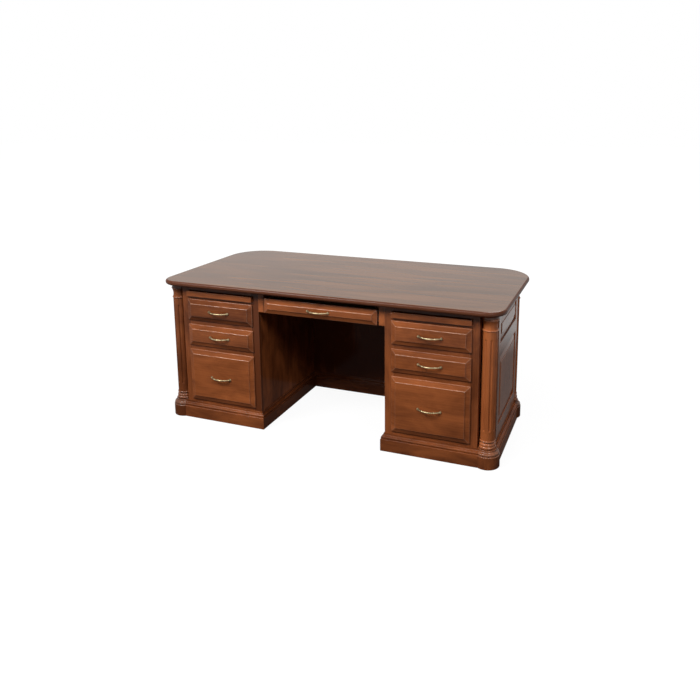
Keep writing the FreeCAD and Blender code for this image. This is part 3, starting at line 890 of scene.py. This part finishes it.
# %% A bar swept through rings
def swept(shape, rings, sides):
    """Add a closed bar from rings that are given as centre, heading and radius."""
    loop = bmesh.ops.create_circle(shape, cap_ends=True, segments=sides, radius=1.0)["verts"]
    edges = list({edge for vertex in loop for edge in vertex.link_edges})
    before = Matrix.Identity(4)
    for number, (centre, heading, radius) in enumerate(rings):
        if number:
            grown = bmesh.ops.extrude_edge_only(shape, edges=edges)["geom"]
            loop = [item for item in grown if isinstance(item, bmesh.types.BMVert)]
            edges = [item for item in grown if isinstance(item, bmesh.types.BMEdge)
                     and all(vertex in loop for vertex in item.verts)]
        turn = Vector((0, 0, 1)).rotation_difference(heading).to_matrix().to_4x4()
        now = Matrix.Translation(centre) @ turn @ Matrix.Diagonal((radius, radius, 1, 1))
        bmesh.ops.transform(shape, matrix=now @ before.inverted(), verts=loop)
        before = now
    bmesh.ops.contextual_create(shape, geom=edges)


# %% Bow pulls
bow_half = 0.055
bow_reach = 0.026
bow_bend = (bow_half ** 2 + bow_reach ** 2) / (2 * bow_reach)
bow_turn = math.asin(bow_half / bow_bend)
bar_share = 0.93
bar_steps = 48
bar_sides = 20
foot_sides = 24
# a share of the half bar and the radius there
bar_stations = [(0.0, 0.0041), (0.20, 0.0039), (0.40, 0.0034), (0.435, 0.0034), (0.45, 0.0042),
                (0.50, 0.0048), (0.55, 0.0042), (0.565, 0.0034), (0.60, 0.0035), (0.78, 0.0037),
                (1.0, 0.0038)]
# a height over the drawer front and the radius there
foot_stations = [(0.0, 0.0070), (0.0012, 0.0070), (0.0020, 0.0066), (0.0036, 0.0055), (0.0052, 0.0049),
                 (0.0064, 0.0044), (0.0069, 0.0036), (0.0070, 0.0010)]


def bar_radius(share):
    """The bar's radius at a share of its half length, eased between the stations."""
    spans = zip(bar_stations, bar_stations[1:])
    (a, first), (b, second) = next(span for span in spans if share <= span[1][0])
    blend = (share - a) / (b - a)
    blend = blend * blend * (3 - 2 * blend)
    return first + (second - first) * blend


def make_pull(drawer):
    """One pull on its drawer front."""
    first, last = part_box("pull_" + drawer)
    seat = Vector(((first.x + last.x) / 2, last.y, (first.z + last.z) / 2))
    shape = bmesh.new()
    rings = []
    for step in range(-bar_steps, bar_steps + 1):
        share = bar_share * step / bar_steps
        angle = bow_turn * share
        heading = Vector((math.cos(angle), math.sin(angle), 0))
        out = bow_bend * math.cos(angle) - bow_bend + bow_reach
        centre = seat + Vector((bow_bend * math.sin(angle), -out, 0))
        rings.append((centre, heading, bar_radius(abs(share))))
    swept(shape, rings, bar_sides)
    for x in (-bow_half, bow_half):
        foot = [(seat + Vector((x, -out, 0)), Vector((0, -1, 0)), radius) for out, radius in foot_stations]
        swept(shape, foot, foot_sides)
    bmesh.ops.recalc_face_normals(shape, faces=shape.faces)
    return finished([shape], "brass_pull_" + drawer, brass, ["pull_" + drawer])


pulls = [make_pull(drawer) for drawer in drawers]
print("pulls:", len(pulls), "with", len(pulls[0].data.polygons), "faces each")

# %% [markdown]
# The runners are nested steel channels at the drawers' sides. They could be bent and rounded like real
# sheet metal, but they hardly show, even with the drawers open. So they keep their CAD shape and only
# take the zinc finish.

# %% Runners
runners = ["runner_" + drawer for drawer in drawers]
runners += ["telescope_file_" + side for side in pairs]
runners += ["case_runners"]
for name in runners:
    nodes[name].data.materials.clear()
    nodes[name].data.materials.append(zinc)
print("runner nodes in zinc:", len(runners))

# %% [markdown]
# The desk stands on a white ground. A bright room could give that, but it would wash out the stain. So
# camera and mirror rays see a white floor and surround, which the coat on the wood reflects, while the
# light that falls on the desk stays at a plain level. The floor glows to those rays and is matte to the
# lamps, so it keeps the desk's shadow. Close to the desk it glows less to mirror rays, a painted shade of
# the floor there that the coat reflects, which keeps the kneehole and the ends dark.

# %% Floor
floor_half = 30.0
floor_drop = 0.0005
floor_grey = (0.10, 0.10, 0.10, 1)
white = (1, 1, 1, 1)
# distances from the desk between which the glow grows to full, and the glow that it grows from
seen_range = (0.9, 3.0)
seen_glow = 0.93
# the glow to mirror rays close to the desk is dimmed: a painted shade of the floor round the desk
mirror_range = (1.6, 2.1)
shaded_mirror_glow = 0.18


def make_floor():
    """A pale floor that keeps the desk's shadow and shows white."""
    shape = bmesh.new()
    bmesh.ops.create_grid(shape, x_segments=1, y_segments=1, size=floor_half,
                          matrix=Matrix.Translation((0, 0, -floor_drop)))
    mesh = bpy.data.meshes.new("floor")
    shape.to_mesh(mesh)
    shape.free()
    floor = bpy.data.objects.new("floor", mesh)
    bpy.context.scene.collection.objects.link(floor)
    material = bpy.data.materials.new("pale_floor")
    material.use_nodes = True
    tree = material.node_tree
    tree.nodes.clear()
    matte = add_node(tree, "ShaderNodeBsdfDiffuse", {"Color": floor_grey}).outputs[0]
    place = add_node(tree, "ShaderNodeTexCoord").outputs["Object"]
    far = add_node(tree, "ShaderNodeVectorMath", {0: place}, operation="LENGTH").outputs["Value"]
    path = add_node(tree, "ShaderNodeLightPath").outputs
    direct = math_node(tree, "MAXIMUM", path["Is Camera Ray"], path["Is Transmission Ray"])
    direct = math_node(tree, "MULTIPLY", direct, remap(tree, far, *seen_range, seen_glow, 1.0))
    near_floor_shade = remap(tree, far, *mirror_range, shaded_mirror_glow, 1.0)
    mirrored = math_node(tree, "MULTIPLY", path["Is Glossy Ray"], near_floor_shade)
    strength = math_node(tree, "ADD", direct, mirrored)
    glow = add_node(tree, "ShaderNodeEmission", {"Color": white, "Strength": strength}).outputs[0]
    both = add_node(tree, "ShaderNodeAddShader", {0: matte, 1: glow}).outputs[0]
    add_node(tree, "ShaderNodeOutputMaterial", {"Surface": both})
    mesh.materials.append(material)


make_floor()
print("floor:", 2 * floor_half, "m wide")

# %% [markdown]
# The main light is a broad soft box high in front and to the left. A long one over the front draws
# highlights along the upper edges, a weaker one stands in front on the right, and one stands behind for
# the visitor's side. One sun could light it all, but its shadows would be hard and the lacquer would show
# no broad sheen.

# %% Light
fill_level = 0.05


def make_world():
    """White to the camera, to mirrors and through glass, and a low even light on everything else."""
    world = bpy.data.worlds.new("studio")
    bpy.context.scene.world = world
    world.use_nodes = True
    tree = world.node_tree
    tree.nodes.clear()
    path = add_node(tree, "ShaderNodeLightPath").outputs
    seen = math_node(tree, "MAXIMUM", path["Is Camera Ray"], path["Is Glossy Ray"])
    seen = math_node(tree, "MAXIMUM", seen, path["Is Transmission Ray"])
    strength = remap(tree, seen, 0.0, 1.0, fill_level, 1.0)
    shade = add_node(tree, "ShaderNodeBackground", {"Color": white, "Strength": strength}).outputs[0]
    add_node(tree, "ShaderNodeOutputWorld", {"Surface": shade})


def soft_light(name, place, target, size, power):
    """A soft box that faces a point."""
    lamp = bpy.data.lights.new(name, "AREA")
    lamp.shape = "RECTANGLE"
    lamp.size, lamp.size_y = size
    lamp.energy = power
    box = bpy.data.objects.new(name, lamp)
    bpy.context.scene.collection.objects.link(box)
    box.location = place
    box.rotation_euler = (Vector(target) - Vector(place)).to_track_quat("-Z", "Y").to_euler()
    print("light", name, power, "W")


make_world()
soft_light("key", place=(-5.2, -6.6, 7.6), target=(0, 0, 0.4), size=(3.6, 3.6), power=520)
soft_light("over_front", place=(-0.9, -2.7, 3.2), target=(-0.9, -0.3, 0.5), size=(3.6, 1.2), power=92)
soft_light("right", place=(3.6, -3.6, 4.4), target=(0.8, 0, 0.4), size=(1.8, 1.8), power=110)
soft_light("behind", place=(0.8, 3.6, 4.4), target=(0, 0.2, 0.3), size=(1.8, 1.8), power=130)

# %% [markdown]
# The camera is where the photograph was taken from. It could be moved by eye until the desk looks right,
# but fitting the desk's own edges gives the place, the turn and the focal length together. The lens is
# shifted, as in a picture that was cropped off its centre, so the desk falls on the same pixels.

# %% Camera
picture_pixels = 700
focal_pixels = 693.615
centre_pixels = (376.453, 244.089)
eye = (1.429841, -3.374485, 1.632730)
yaw = 0.363336
pitch = 0.188935
roll = 0.0029316
far_limit = 200


def make_camera():
    """The photograph's viewpoint, from its turn and its focal length and centre in pixels."""
    ahead = Vector((-math.sin(yaw) * math.cos(pitch), math.cos(yaw) * math.cos(pitch), -math.sin(pitch)))
    level = Vector((math.cos(yaw), math.sin(yaw), 0))
    sunk = ahead.cross(level)
    right = level * math.cos(roll) + sunk * math.sin(roll)
    down = sunk * math.cos(roll) - level * math.sin(roll)
    camera = bpy.data.cameras.new("viewpoint")
    camera.sensor_width = 36.0
    camera.lens = focal_pixels / picture_pixels * camera.sensor_width
    camera.shift_x = (picture_pixels / 2 - centre_pixels[0]) / picture_pixels
    camera.shift_y = (centre_pixels[1] - picture_pixels / 2) / picture_pixels
    camera.clip_end = far_limit
    holder = bpy.data.objects.new("viewpoint", camera)
    bpy.context.scene.collection.objects.link(holder)
    turn = Matrix((right, -down, -ahead)).transposed().to_4x4()
    holder.matrix_world = Matrix.Translation(eye) @ turn
    bpy.context.scene.camera = holder
    return camera


camera = make_camera()
bpy.context.scene.view_settings.view_transform = "Standard"
print("lens:", round(camera.lens, 2), "mm")
